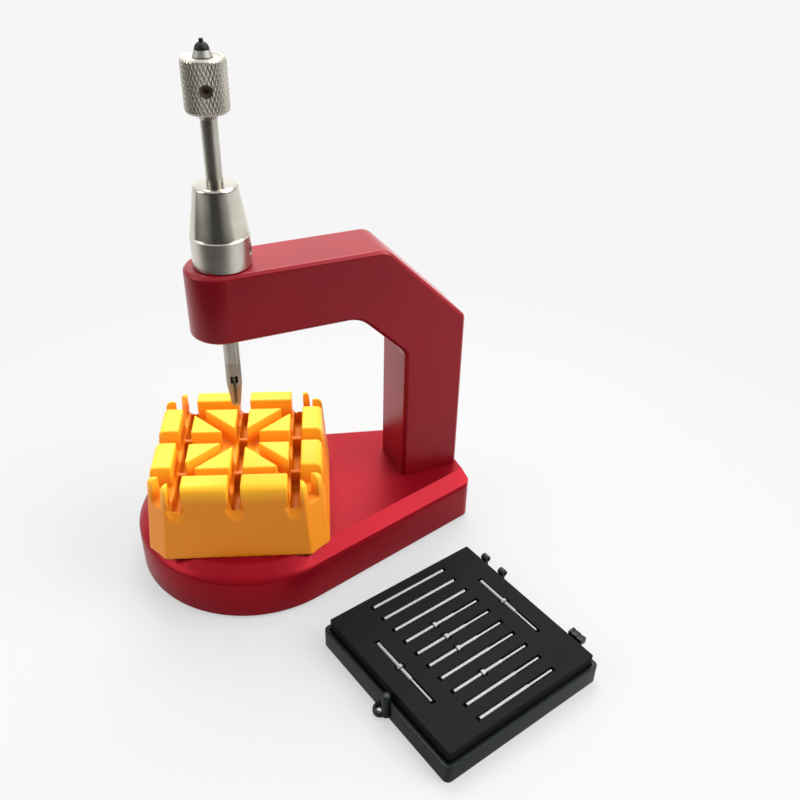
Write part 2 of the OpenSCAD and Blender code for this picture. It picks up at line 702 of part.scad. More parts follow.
module holder_slots() {
    reach = holder_w * 2;
    face = holder_w / 2 - holder_draft * slot_floor_h / holder_h;
    module slot(x, w) {
        translate([x - w / 2, -reach / 2, slot_floor_h]) cube([w, reach, holder_h]);
    }
    for (x = [-slot_pitch, 0, slot_pitch]) {
        slot(x, slot_w);
        rotate([0, 0, 90]) slot(x, x == 0 ? wide_slot_w : slot_w);
        for (turn = [0:90:270]) rotate([0, 0, turn]) loft([
            mouth_ring(x, face, 1.5 * mouth_low_w - mouth_w / 2, -mouth_in / 2, slot_floor_h - 1.5 * mouth_drop),
            mouth_ring(x, face, mouth_w, mouth_in, slot_floor_h),
            mouth_ring(x, face, slot_w - eps, mouth_in / 2, slot_floor_h + mouth_rise)]);
        well(x, -slot_pitch / 2 + well_rib_t / 2, slot_pitch / 2 - well_rib_t / 2);
        for (turn = [0, 180]) rotate([0, 0, turn])
            well(x, slot_pitch / 2 + well_rib_t / 2, face - well_lip);
    }
    for (turn = [45, 135]) rotate([0, 0, turn]) slot(0, diagonal_w);
    translate([-slot_pitch, -slot_pitch, holder_h - wedge_drop])
        cube([2 * slot_pitch, 2 * slot_pitch, holder_h]);
}

module well(x, from, to) {
    translate([x - well_w / 2, from, well_floor_h]) cube([well_w, to - from, well_d + eps]);
}

// Hollow underside, less the boss on the peg and the ribs that carry it
module holder_hollow() {
    half = holder_w / 2 - holder_wall;
    lean = holder_draft * hollow_h / holder_h;
    difference() {
        loft([
            at_height(corner_cut(half, holder_corner), 0),
            at_height(corner_cut(half - lean, holder_corner), hollow_h)]);
        cylinder(r = boss_r, h = holder_h);
        for (turn = [0, 90]) rotate([0, 0, turn]) translate([-rib_t / 2, -holder_w / 2, -eps])
            cube([rib_t, holder_w, holder_h]);
    }
}

module strap_holder() {
    color(yellow) translate([0, 0, base_top_z]) rotate([0, 0, holder_turn]) difference() {
        holder_block();
        holder_slots();
        holder_hollow();
        translate([0, 0, -eps]) cylinder(r = peg_r + run_play, h = peg_bore_h + eps);
    }
}

module in_box() {
    translate([box_x, box_y, 0]) rotate([0, 0, box_turn]) children();
}

// Two hinge ears and a hinge block on one side of the shell, a catch and a latch loop on the other
module box_fittings() {
    side = shell_w / 2;
    root = shell_wall / 2;
    ear_out = 0.8 * ear_r;
    ear_z = insert_z - ear_r;
    loop_x = -side - 0.35 * loop_r;
    for (y = [ear_y, ear_y + ear_pitch]) {
        translate([side + ear_out, y + ear_l / 2, ear_z]) rotate([90, 0, 0]) cylinder(r = ear_r, h = ear_l);
        translate([side - root, y - ear_l / 2, shell_h / 2]) cube([root + ear_out, ear_l, ear_z - shell_h / 2]);
    }
    translate([side - root, -block_y, ear_z + ear_r / 2 - block_h])
        cube([root + block_out, block_l, block_h]);
    translate([-side - catch_out, -catch_w / 2, shell_h - catch_h])
        cube([catch_out + root, catch_w, catch_h]);
    difference() {
        union() {
            translate([loop_x, -loop_r / 2, loop_t / 4]) cylinder(r = loop_r, h = loop_t);
            translate([loop_x, -catch_w / 2, loop_t / 4]) cube([root - side - loop_x, catch_w / 2, loop_t]);
        }
        translate([loop_x, -loop_r / 2, -eps]) cylinder(r = loop_r / 2, h = shell_h);
    }
}

module pin_box_shell() {
    inner_w = shell_w - 2 * shell_wall;
    inner_l = shell_l - 2 * shell_wall;
    color(black) in_box() {
        difference() {
            rounded_plate(shell_w, shell_l, shell_corner_r, shell_h);
            translate([0, 0, shell_wall])
                rounded_plate(inner_w, inner_l, shell_corner_r - shell_wall, shell_h);
        }
        box_fittings();
    }
}

function row_y(k) = ((row_count - 1) / 2 - k) * row_pitch;

module pin_trough(length, collar) {
    translate([-length / 2 - trough_extra, -trough_w / 2, insert_z - trough_d])
        cube([length + 2 * trough_extra, trough_w, trough_d + eps]);
    if (collar) {
        deep = trough_d + spare_collar_r - spare_r + collar_clear / 4;
        wide = spare_collar_r + collar_clear;
        translate([spare_collar_x - collar_clear - length / 2, -wide, insert_z - deep])
            cube([spare_collar_l + 2 * collar_clear, 2 * wide, deep + eps]);
    }
}

// Direction and place of the two pins laid across the others
module cross_places() {
    translate([cross_x, cross_shift, 0]) rotate([0, 0, -90]) children();
    translate([-cross_x, 0, 0]) rotate([0, 0, -90]) children();
}

module pin_box_insert() {
    skirt_h = insert_z - insert_t - shell_wall;
    corner = max(0.2, shell_corner_r - shell_wall - 2.5 * insert_play);
    color(black) in_box() difference() {
        translate([0, 0, shell_wall]) rounded_plate(insert_w, insert_l, corner, insert_z - shell_wall);
        translate([0, 0, shell_wall - eps])
            rounded_plate(insert_w - 2 * insert_wall, insert_l - 2 * insert_wall, corner / 2, skirt_h + eps);
        for (k = concat(plain_rows, stepped_rows)) translate([0, row_y(k), 0]) pin_trough(spare_l, false);
        for (k = collared_rows) translate([0, row_y(k), 0]) pin_trough(spare_l, true);
        cross_places() pin_trough(cross_l, true);
    }
}

// One spare pin along X with its thick end first
module spare_pin(length, thin, collar) {
    thick_l = thin ? length - spare_tip_l : length;
    translate([-length / 2, 0, pin_z]) rotate([0, 90, 0]) {
        cylinder(r = spare_r, h = thick_l);
        if (thin) translate([0, 0, thick_l - eps]) cylinder(r = spare_tip_r, h = spare_tip_l + eps);
        if (collar) translate([0, 0, spare_collar_x]) cylinder(r = spare_collar_r, h = spare_collar_l);
    }
}

module spare_pins_plain() {
    color(steel) in_box() for (k = plain_rows) translate([0, row_y(k), 0]) spare_pin(spare_l, false, false);
}

module spare_pins_stepped() {
    color(steel) in_box() for (k = stepped_rows) translate([0, row_y(k), 0]) spare_pin(spare_l, true, false);
}

module spare_pins_collared() {
    color(steel) in_box() {
        for (k = collared_rows) translate([0, row_y(k), 0]) spare_pin(spare_l, true, true);
        cross_places() spare_pin(cross_l, true, true);
    }
}

base_plate();
base_pad();
arm_frame();
column_screws();
holder_peg();
guide_bush();
lock_collar();
collar_set_screw();
housing_cone();
spindle();
knob();
knob_set_screw();
end_nut();
end_cap();
pin_holder();
push_pin();
strap_holder();
pin_box_shell();
pin_box_insert();
spare_pins_plain();
spare_pins_stepped();
spare_pins_collared();
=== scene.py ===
# Watch strap remover: looks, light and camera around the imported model
import math

import bmesh
import bpy
from mathutils import Matrix, Vector


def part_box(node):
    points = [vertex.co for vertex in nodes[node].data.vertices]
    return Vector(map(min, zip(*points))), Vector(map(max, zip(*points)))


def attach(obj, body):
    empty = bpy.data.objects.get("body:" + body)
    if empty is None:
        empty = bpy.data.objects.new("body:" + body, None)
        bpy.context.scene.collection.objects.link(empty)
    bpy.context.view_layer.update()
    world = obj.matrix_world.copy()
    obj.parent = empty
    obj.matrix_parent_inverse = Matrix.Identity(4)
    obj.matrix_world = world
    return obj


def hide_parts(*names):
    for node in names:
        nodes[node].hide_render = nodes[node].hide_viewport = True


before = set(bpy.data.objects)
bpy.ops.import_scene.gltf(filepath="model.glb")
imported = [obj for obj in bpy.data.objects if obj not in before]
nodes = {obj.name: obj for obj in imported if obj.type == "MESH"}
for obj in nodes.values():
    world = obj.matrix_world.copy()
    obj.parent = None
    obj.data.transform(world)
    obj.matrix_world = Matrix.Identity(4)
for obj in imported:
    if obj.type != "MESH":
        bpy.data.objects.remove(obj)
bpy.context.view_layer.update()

hair = 0.00001  # play in the tests that find an edge or a face by its place
mergeGap = 0.000001  # corners closer than this become one


class Channel:
    # a number, colour or vector that runs through a material's nodes
    def __init__(self, finish, socket):
        self.finish = finish
        self.socket = socket

    def maths(self, operation, other):
        return self.finish.node("ShaderNodeMath", {"operation": operation}, [self, other])

    def __add__(self, other):
        return self.maths("ADD", other)

    __radd__ = __add__

    def __sub__(self, other):
        return self.maths("SUBTRACT", other)

    def __rsub__(self, other):
        return self.finish.node("ShaderNodeMath", {"operation": "SUBTRACT"}, [other, self])

    def __mul__(self, other):
        return self.maths("MULTIPLY", other)

    __rmul__ = __mul__

    def between(self, low, high):
        # 0 below low, 1 above high, and smooth in between
        sockets = {"Value": self, "From Min": low, "From Max": high}
        return self.finish.node("ShaderNodeMapRange", {"interpolation_type": "SMOOTHSTEP"}, sockets)


class Finish:
    # node tree of a material or of the world, with one method that adds any node
    def __init__(self, owner):
        owner.use_nodes = True
        self.owner = owner
        self.tree = owner.node_tree
        self.tree.nodes.clear()

    def node(self, kind, settings=None, sockets=(), output=0):
        made = self.tree.nodes.new(kind)
        for key, value in (settings or {}).items():
            setattr(made, key, value)
        pairs = sockets.items() if isinstance(sockets, dict) else enumerate(sockets)
        for key, value in pairs:
            if isinstance(value, Channel):
                self.tree.links.new(value.socket, made.inputs[key])
            else:
                made.inputs[key].default_value = value
        return Channel(self, made.outputs[output]) if made.outputs else None

    def place(self, kind="Object"):
        # x, y and z of a point on the object, or in the world of the way that a ray goes
        point = self.node("ShaderNodeTexCoord", output=kind)
        return [self.node("ShaderNodeSeparateXYZ", sockets=[point], output=k) for k in range(3)]

    def ray(self, kind):
        # 1 for rays of this kind and 0 for the others
        return self.node("ShaderNodeLightPath", output=kind)

    def mix(self, share, first, second):
        # a Mix node has its factor at socket 0 and its two colours at 6 and 7
        return self.node("ShaderNodeMix", {"data_type": "RGBA"}, {0: share, 6: first, 7: second}, output=2)

    def noise(self, scale, detail, rough, point=None):
        point = point or self.node("ShaderNodeTexCoord", output="Object")
        sockets = {"Vector": point, "Scale": scale, "Detail": detail, "Roughness": rough}
        return self.node("ShaderNodeTexNoise", sockets=sockets)

    def rings(self, scale, detail, rough):
        # marks of turning: a noise that changes only along the plunger's axis
        along = self.node("ShaderNodeCombineXYZ", sockets={"Z": self.place()[2]})
        return self.noise(scale, detail, rough, along)

    def bump(self, height, depth, strength):
        sockets = {"Height": height, "Distance": depth, "Strength": strength}
        return self.node("ShaderNodeBump", sockets=sockets)

    def surface(self, **sockets):
        named = {key.replace("_", " "): value for key, value in sockets.items()}
        shader = self.node("ShaderNodeBsdfPrincipled", sockets=named)
        self.node("ShaderNodeOutputMaterial", sockets={"Surface": shader})
        return self.owner


def makeFinish(name):
    return Finish(bpy.data.materials.new(name))


def grey(level):
    return (level, level, level, 1)


# In the finishes, a cloud, grain or rings is a noise with its scale, detail and roughness,
# and a bump is its depth in metres and its strength

# Red coat, cloudy in its colour over a very fine grain
redCoat = {
    "colour": (0.24, 0.0035, 0.010, 1), "deep": (0.19, 0.0025, 0.008, 1), "cloud": (26, 2, 0.5),
    "clouded": (0.3, 0.75), "roughness": 0.27, "uneven": 0.08, "grain": (2600, 3, 0.6),
    "bump": (0.00002, 0.25),
}
redFinishes = {
    "redArm": {"gloss": 0.24, "metal": 0.15},
    "redBase": {"gloss": 0.08, "metal": 0.36},
}


def redAnodised(name, gloss, metal):
    finish = makeFinish(name)
    cloud = finish.noise(*redCoat["cloud"])
    grain = finish.noise(*redCoat["grain"])
    return finish.surface(
        Base_Color=finish.mix(cloud.between(*redCoat["clouded"]), redCoat["colour"], redCoat["deep"]),
        Metallic=metal, Roughness=cloud * redCoat["uneven"] + redCoat["roughness"],
        Specular_IOR_Level=gloss, Normal=finish.bump(grain, *redCoat["bump"]))


# Steel off the lathe, where cool takes it from its own warm tint to grey
steel = {
    "colour": (0.47, 0.444, 0.39), "dull": (0.365, 0.342, 0.293), "grey": 0.41,
    "cloud": (140, 3, 0.6), "clouded": (0.35, 0.8), "uneven": 0.12, "rings": (5200, 4, 0.7),
    "bump": (0.000012, 0.35),
}
steelFinishes = {
    "turnedSteel": {"rough": 0.24, "tone": 1.0, "cool": 0.0},
    "brightSteel": {"rough": 0.2, "tone": 1.15, "cool": 0.0},
    "mattSteel": {"rough": 0.5, "tone": 0.66, "cool": 0.5},
    "knurledSteel": {"rough": 0.34, "tone": 0.98, "cool": 0.0},
    "spindleSteel": {"rough": 0.26, "tone": 0.76, "cool": 0.0},
    "noseSteel": {"rough": 0.38, "tone": 0.67, "cool": 0.0},
    "coneSteel": {"rough": 0.12, "tone": 1.02, "cool": 0.0},
    # the push pin's steel is made brighter than it is: a painted highlight on a pin that sits in the shade of
    # its slot
    "pushSteelPaintedHighlight": {"rough": 0.5, "tone": 1.4, "cool": 0.0},
    "pinSteel": {"rough": 0.42, "tone": 0.46, "cool": 1.0},
}


def turnedSteel(name, rough, tone, cool):
    finish = makeFinish(name)
    cloud = finish.noise(*steel["cloud"])
    rings = finish.rings(*steel["rings"])

    def shade(colour):
        return (*((part + (steel["grey"] - part) * cool) * tone for part in colour), 1)

    return finish.surface(
        Base_Color=finish.mix(cloud.between(*steel["clouded"]), shade(steel["colour"]), shade(steel["dull"])),
        Metallic=1.0, Roughness=rings * steel["uneven"] + rough, Normal=finish.bump(rings, *steel["bump"]))


# Browned steel of the screws
darkTone = {
    "deep": (0.15, 0.105, 0.082, 1), "light": (0.24, 0.175, 0.14, 1), "cloud": (700, 3, 0.6),
    "metal": 0.6, "roughness": 0.35, "uneven": 0.2,
}


def darkSteel():
    finish = makeFinish("darkSteel")
    cloud = finish.noise(*darkTone["cloud"])
    return finish.surface(
        Base_Color=finish.mix(cloud, darkTone["deep"], darkTone["light"]),
        Metallic=darkTone["metal"], Roughness=cloud * darkTone["uneven"] + darkTone["roughness"])


# Turned brass of the guide bush
brassTone = {
    "light": (0.62, 0.42, 0.16, 1), "deep": (0.50, 0.33, 0.12, 1), "rings": (4200, 3, 0.6),
    "roughness": 0.26, "uneven": 0.1, "bump": (0.00001, 0.3),
}


def brassBush():
    finish = makeFinish("brassBush")
    rings = finish.rings(*brassTone["rings"])
    return finish.surface(
        Base_Color=finish.mix(rings, brassTone["light"], brassTone["deep"]), Metallic=1.0,
        Roughness=rings * brassTone["uneven"] + brassTone["roughness"],
        Normal=finish.bump(rings, *brassTone["bump"]))


# Yellow plastic, orange in the thick foot and paler towards the top of the ribs: painted light that makes the
# lit tops paler and the shaded lower sides orange
yellowTone = {
    # the first colour is the lower sides in painted shade, the second the tops in painted light
    "deep": (0.74, 0.235, 0.012, 1), "paintedLitTop": (0.93, 0.44, 0.022, 1), "from": 0.034, "to": 0.0392,
    "cloud": (60, 2, 0.5), "waver": 0.0012, "grain": (3400, 2, 0.5), "bump": (0.00002, 0.2),
    "roughness": 0.36, "uneven": 0.08, "gloss": 0.2, "glow": 0.06, "glowTint": (1.0, 0.45, 0.1),
    "glowDepth": 0.002,
}


def yellowPlastic():
    finish = makeFinish("yellowPlastic")
    grain = finish.noise(*yellowTone["grain"])
    height = finish.place()[2] + finish.noise(*yellowTone["cloud"]) * yellowTone["waver"]
    # paler with height: painted light, the lit tops paler than the shaded lower sides
    paintedTopLight = height.between(yellowTone["from"], yellowTone["to"])
    return finish.surface(
        Base_Color=finish.mix(paintedTopLight, yellowTone["deep"], yellowTone["paintedLitTop"]),
        Roughness=grain * yellowTone["uneven"] + yellowTone["roughness"],
        Specular_IOR_Level=yellowTone["gloss"], Normal=finish.bump(grain, *yellowTone["bump"]),
        Subsurface_Weight=yellowTone["glow"], Subsurface_Radius=yellowTone["glowTint"],
        Subsurface_Scale=yellowTone["glowDepth"])


# Black plastics of the end cap and of the pin box
blackMoulding = {"grain": (2200, 3, 0.6), "cloud": (90, 2, 0.5), "uneven": 0.12, "bump": (0.00003, 0.3)}
blackFinishes = {
    "blackPlastic": {
        "deep": (0.004, 0.0035, 0.004, 1), "light": (0.006, 0.0055, 0.006, 1), "rough": 0.5, "gloss": 0.045},
    "capPlastic": {
        "deep": (0.009, 0.009, 0.009, 1), "light": (0.014, 0.014, 0.014, 1), "rough": 0.4, "gloss": 0.16},
    "shellPlastic": {
        "deep": (0.006, 0.0085, 0.008, 1), "light": (0.012, 0.015, 0.0145, 1), "rough": 0.26, "gloss": 0.12},
}


def blackPlastic(name, deep, light, rough, gloss):
    finish = makeFinish(name)
    grain = finish.noise(*blackMoulding["grain"])
    return finish.surface(
        Base_Color=finish.mix(finish.noise(*blackMoulding["cloud"]), deep, light),
        Roughness=grain * blackMoulding["uneven"] + rough, Specular_IOR_Level=gloss,
        Normal=finish.bump(grain, *blackMoulding["bump"]))


# Anti-slip sheet under the base
padTone = {"deep": 0.012, "light": 0.03, "grain": (1500, 4, 0.7), "roughness": 0.85, "bump": (0.00008, 0.6)}


def padRubber():
    finish = makeFinish("padRubber")
    grain = finish.noise(*padTone["grain"])
    return finish.surface(
        Base_Color=finish.mix(grain, grey(padTone["deep"]), grey(padTone["light"])),
        Roughness=padTone["roughness"], Normal=finish.bump(grain, *padTone["bump"]))


def paint(thing, finish):
    thing.data.materials.clear()
    thing.data.materials.append(finish)


finishes = {
    "darkSteel": darkSteel(), "brassBush": brassBush(), "yellowPlastic": yellowPlastic(),
    "padRubber": padRubber(),
}
for make, kinds in ((redAnodised, redFinishes), (turnedSteel, steelFinishes), (blackPlastic, blackFinishes)):
    for name, facts in kinds.items():
        finishes[name] = make(name, **facts)

nodeFinish = {
    "base_plate": "redBase", "base_pad": "padRubber", "arm_frame": "redArm", "column_screws": "darkSteel",
    "holder_peg": "turnedSteel", "guide_bush": "brassBush", "lock_collar": "turnedSteel",
    "collar_set_screw": "darkSteel", "housing_cone": "coneSteel", "spindle": "spindleSteel",
    "knob": "brightSteel", "knob_set_screw": "darkSteel", "end_nut": "mattSteel", "end_cap": "capPlastic",
    "pin_holder": "noseSteel", "push_pin": "pushSteelPaintedHighlight", "strap_holder": "yellowPlastic",
    "pin_box_shell": "shellPlastic", "pin_box_insert": "blackPlastic", "spare_pins_plain": "pinSteel",
    "spare_pins_stepped": "pinSteel", "spare_pins_collared": "pinSteel",
}
for name, kind in nodeFinish.items():
    paint(nodes[name], finishes[kind])
print("finishes on the solids")

# Softened edges of the solids that keep their own mesh: faces within flat degrees of each other
# become one, and where faces meet at more than sharp degrees the edge is rounded
softEdges = {
    "radius": {"pin_box_insert": 0.0005, "arm_frame": 0.0005, "base_plate": 0.0004},
    "flat": 0.4, "sharp": 32, "segments": 3,
}


def soften(thing, radius):
    weld = thing.modifiers.new("weld", "WELD")
    weld.merge_threshold = mergeGap
    flats = thing.modifiers.new("flats", "DECIMATE")
    flats.decimate_type = "DISSOLVE"
    flats.angle_limit = math.radians(softEdges["flat"])
    rounding = thing.modifiers.new("rounding", "BEVEL")
    rounding.width = radius
    rounding.segments = softEdges["segments"]
    rounding.limit_method = "ANGLE"
    rounding.angle_limit = math.radians(softEdges["sharp"])
    rounding.miter_outer = "MITER_ARC"


for name, radius in softEdges["radius"].items():
    soften(nodes[name], radius)
print("edges softened")


def pick(thing):
    # alone in the selection
    bpy.ops.object.select_all(action="DESELECT")
    thing.select_set(True)
    bpy.context.view_layer.objects.active = thing


def addPrimitive(kind, **facts):
    bpy.ops.object.select_all(action="DESELECT")
    getattr(bpy.ops.mesh, "primitive_" + kind + "_add")(**facts)
    return bpy.context.object


def choose(mesh, kind, test):
    # in edit mode, selects only the verts, edges or faces that pass the test
    bpy.ops.mesh.select_all(action="DESELECT")
    bpy.context.tool_settings.mesh_select_mode = (kind == "verts", kind == "edges", kind == "faces")
    form = bmesh.from_edit_mesh(mesh)
    for part in getattr(form, kind):
        if test(part):
            part.select_set(True)
    form.select_flush_mode()
    bmesh.update_edit_mesh(mesh)


def pullOut(rise):
    # extrudes what is chosen, straight up or down
    bpy.ops.mesh.extrude_region_move(TRANSFORM_OT_translate={"value": (0, 0, rise)})


def spread(times):
    # scales what is chosen about the plunger's axis
    bpy.ops.transform.resize(value=(times, times, 1), center_override=(0, 0, 0))


def bevelEdges(thing, offset, segments, test):
    bpy.ops.object.mode_set(mode="EDIT")
    choose(thing.data, "edges", test)
    bpy.ops.mesh.bevel(offset=offset, segments=segments, affect="EDGES")
    bpy.ops.object.mode_set(mode="OBJECT")


def applyModifier(thing, kind, **facts):
    tool = thing.modifiers.new(kind.lower(), kind)
    for key, value in facts.items():
        setattr(tool, key, value)
    bpy.context.view_layer.objects.active = thing
    bpy.ops.object.modifier_apply(modifier=tool.name)


def cutAway(thing, cutter):
    applyModifier(thing, "BOOLEAN", operation="DIFFERENCE", solver="EXACT", object=cutter)
    bpy.data.objects.remove(cutter)


def weldOn(thing, extra):
    applyModifier(thing, "BOOLEAN", operation="UNION", solver="EXACT", object=extra)
    bpy.data.objects.remove(extra)


def finishPiece(thing, finish, body, node):
    paint(thing, finish)
    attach(thing, body)
    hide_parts(node)


# Knob with a diamond knurl: root is the barrel's radius between the diamonds and rise their height,
# endTaper draws both ends in, and brim, step and dip shape the upper one
knobFacts = {
    "lines": 36, "rows": 5, "root": 0.00499, "rise": 0.00024, "halfRise": 0.6, "edge": 0.0003,
    "endTaper": 0.95, "brim": 0.0009, "step": 0.0002, "dip": 0.00015,
    "neckLength": 0.0015, "neckRadius": 0.0018, "neckFlare": 1.2, "bore": 0.00152, "boreDepth": 0.03,
    "screwRadius": 0.00152, "screwDepth": 0.005, "screwOut": 0.0036, "screwHeight": 0.136,
    "screwTurn": -102, "holeSides": 48,
}


def isEnd(face):
    # only the barrel's two ends have a corner for each line of the knurl
    return len(face.verts) == knobFacts["lines"]


def knurl(mesh, height):
    # the barrel's long quads are cut into rows and poked, and without the old edges the triangles
    # pair up into standing diamonds, which are poked in turn
    choose(mesh, "edges", lambda edge: abs(edge.verts[0].co.z - edge.verts[1].co.z) > height / 2)
    bpy.ops.mesh.subdivide(number_cuts=knobFacts["rows"] - 1)
    choose(mesh, "faces", lambda face: not isEnd(face))
    bpy.ops.mesh.poke(offset=knobFacts["root"] * (1 - math.cos(math.pi / knobFacts["lines"])))

    def oldEdge(edge):
        run = edge.verts[1].co - edge.verts[0].co
        straight = abs(run.z) < hair or run.xy.length < hair
        return straight and not any(isEnd(face) for face in edge.link_faces)

    def halfDiamond(face):
        return len(face.verts) == 3 and any(isEnd(near) for edge in face.edges for near in edge.link_faces)

    choose(mesh, "edges", oldEdge)
    bpy.ops.mesh.dissolve_edges(use_verts=False)
    choose(mesh, "faces", lambda face: len(face.verts) == 4)
    bpy.ops.mesh.poke(offset=knobFacts["rise"])
    choose(mesh, "faces", halfDiamond)
    bpy.ops.mesh.poke(offset=knobFacts["rise"] * knobFacts["halfRise"])


def makeKnob():
    low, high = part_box("knob")
    edge, neck, taper = (knobFacts[key] for key in ("edge", "neckLength", "endTaper"))
    foot, top = low[2] + neck + edge, high[2] - edge
    middle = (0, 0, (foot + top) / 2)
    knob = addPrimitive(
        "cylinder", vertices=knobFacts["lines"], radius=knobFacts["root"], depth=top - foot, location=middle)
    knob.name = "knurledKnob"
    bpy.ops.object.transform_apply(location=True)
    bpy.ops.object.mode_set(mode="EDIT")
    knurl(knob.data, top - foot)
    choose(knob.data, "faces", lambda face: isEnd(face) and face.normal.z > 0)
    pullOut(edge)
    spread(taper)
    bpy.ops.mesh.inset(thickness=knobFacts["brim"])
    bpy.ops.mesh.inset(thickness=knobFacts["step"])
    bpy.ops.transform.translate(value=(0, 0, -knobFacts["dip"]))
    # the lower end draws down into the neck
    choose(knob.data, "faces", lambda face: isEnd(face) and face.normal.z < 0)
    pullOut(-edge)
    spread(taper)
    bpy.ops.mesh.inset(thickness=knobFacts["root"] * taper - knobFacts["neckRadius"])
    pullOut(-neck)
    spread(knobFacts["neckFlare"])
    bpy.ops.object.mode_set(mode="OBJECT")
    sides = knobFacts["holeSides"]
    cutAway(knob, addPrimitive(
        "cylinder", vertices=sides, radius=knobFacts["bore"], depth=knobFacts["boreDepth"], location=middle))
    # hole of the set screw
    turn = math.radians(knobFacts["screwTurn"])
    way = Vector((math.cos(turn), math.sin(turn), 0)) * knobFacts["screwOut"]
    cutAway(knob, addPrimitive(
        "cylinder", vertices=sides, radius=knobFacts["screwRadius"], depth=knobFacts["screwDepth"],
        location=way + Vector((0, 0, knobFacts["screwHeight"])),
        rotation=(math.pi / 2, 0, turn + math.pi / 2)))
    return knob


finishPiece(makeKnob(), finishes["knurledSteel"], "spindle", "knob")
print("knurled knob")


# Strap holder with the soft edges of a moulding
holderMoulding = {"grain": 0.00035, "smoothing": 5, "pull": 0.5, "kept": 0.4}


def mouldHolder():
    holder = bpy.data.objects.new("mouldedHolder", nodes["strap_holder"].data.copy())
    bpy.context.scene.collection.objects.link(holder)
    pick(holder)
    bpy.ops.object.mode_set(mode="EDIT")
    bpy.ops.mesh.select_all(action="SELECT")
    bpy.ops.mesh.remove_doubles(threshold=mergeGap)
    bpy.ops.mesh.normals_make_consistent(inside=False)
    bpy.ops.object.mode_set(mode="OBJECT")
    applyModifier(holder, "REMESH", mode="VOXEL", voxel_size=holderMoulding["grain"])
    applyModifier(
        holder, "SMOOTH", factor=holderMoulding["pull"], iterations=holderMoulding["smoothing"])
    applyModifier(holder, "DECIMATE", ratio=holderMoulding["kept"])
    bpy.ops.object.shade_smooth()
    return holder


finishPiece(mouldHolder(), finishes["yellowPlastic"], "strap_holder", "strap_holder")
print("moulded strap holder")


# Shell of the pin box, drawn about its own middle and then turned and set in place: two hinge ears
# and a ridged hinge block on one side, a latch loop and a post on the other
boxShell = {
    "size": (0.051, 0.05245, 0.0056), "wall": 0.0012, "corner": 0.0016, "rim": 0.00018,
    "at": (0.0375, -0.0671, 0), "turn": 13, "smooth": 35, "ringSides": 32,
    "ear": {
        "radius": 0.001, "bore": 0.00045, "length": 0.0022, "out": 0.0008, "height": 0.0077,
        "along": (0.0119, 0.019), "soft": 0.00015,
        "foot": (0.0013, 0.002, 0.0036), "footOut": 0.0004, "footHeight": 0.0051,
    },
    "block": {
        "size": (0.002, 0.0046, 0.0017), "out": 0.0009, "height": 0.0073, "along": -0.0171,
        "ridges": 5, "ridge": 0.00015, "soft": 0.0001,
        "foot": (0.0012, 0.004, 0.0024), "footOut": -0.00005, "footHeight": 0.0048,
    },
    "loop": {"radius": 0.002, "bore": 0.001, "high": 0.0016, "at": (-0.0262, -0.001, 0.0012), "soft": 0.0003},
    "post": {
        "radius": 0.00115, "sides": 24, "at": (-0.0259, -0.0029), "foot": 0.001, "top": 0.0086,
        "soft": 0.0006,
    },
}
fineSteps, wideSteps = 2, 4  # segments of a narrow bevel and of a wide one
fineAngle = math.radians(50)  # where faces of rings and ridges meet at more, the edge is bevelled
alongSide = (math.pi / 2, 0, 0)  # turns a ring's axis from upright to along the box's side


def addCube(size, place):
    cube = addPrimitive("cube", size=1, location=place, scale=size)
    bpy.ops.object.transform_apply(location=True, scale=True)
    return cube


def addFoot(facts, side, along, soft):
    foot = addCube(facts["foot"], (side + facts["footOut"], along, facts["footHeight"]))
    bevelEdges(foot, soft, fineSteps, lambda edge: True)
    return foot


def breakEdges(thing, soft):
    applyModifier(
        thing, "BEVEL", width=soft, segments=fineSteps, limit_method="ANGLE", angle_limit=fineAngle)


def addRing(radius, bore, length, place, turn, soft):
    ring = addPrimitive(
        "cylinder", vertices=boxShell["ringSides"], radius=radius, depth=length,
        end_fill_type="NOTHING", location=place, rotation=turn)
    bpy.ops.object.transform_apply(location=True, rotation=True)
    applyModifier(ring, "SOLIDIFY", thickness=radius - bore, offset=-1)
    breakEdges(ring, soft)
    return ring


def addEars(tray, side):
    # one ear is modelled at the middle of the side and copied to the place of each
    ear = boxShell["ear"]
    place = (side + ear["out"], 0, ear["height"])
    parts = [
        addFoot(ear, side, 0, ear["soft"]),
        addRing(ear["radius"], ear["bore"], ear["length"], place, alongSide, ear["soft"]),
    ]
    for along in ear["along"]:
        for part in parts:
            pick(part)
            bpy.ops.object.duplicate(linked=False)
            bpy.ops.transform.translate(value=(0, along, 0))
            bpy.ops.object.transform_apply(location=True)
            weldOn(tray, bpy.context.object)
    for part in parts:
        bpy.data.objects.remove(part)


def addHingeBlock(side):
    facts = boxShell["block"]
    deep, long, high = facts["size"]
    along, height, ridges = facts["along"], facts["height"], facts["ridges"]
    block = addCube(facts["size"], (side + facts["out"], along, height))
    bpy.ops.object.mode_set(mode="EDIT")
    choose(block.data, "edges", lambda edge: abs(edge.verts[0].co.y - edge.verts[1].co.y) > long / 2)
    bpy.ops.mesh.subdivide(number_cuts=ridges - 1)
    strip = long / ridges
    top = height + high / 2 - hair

    def raised(face):
        # every other strip of the top
        middle = face.calc_center_median()
        return middle.z > top and round((middle.y - along + long / 2) / strip - 0.5) % 2 == 0

    choose(block.data, "faces", raised)
    pullOut(facts["ridge"])
    bpy.ops.object.mode_set(mode="OBJECT")
    breakEdges(block, facts["soft"])
    return block


def addPost():
    facts = boxShell["post"]
    foot, top = facts["foot"], facts["top"]
    post = addPrimitive(
        "cylinder", vertices=facts["sides"], radius=facts["radius"], depth=top - foot,
        location=(*facts["at"], (top + foot) / 2))
    bpy.ops.object.transform_apply(location=True)
    bevelEdges(
        post, facts["soft"], wideSteps, lambda edge: all(vert.co.z > top - hair for vert in edge.verts))
    return post


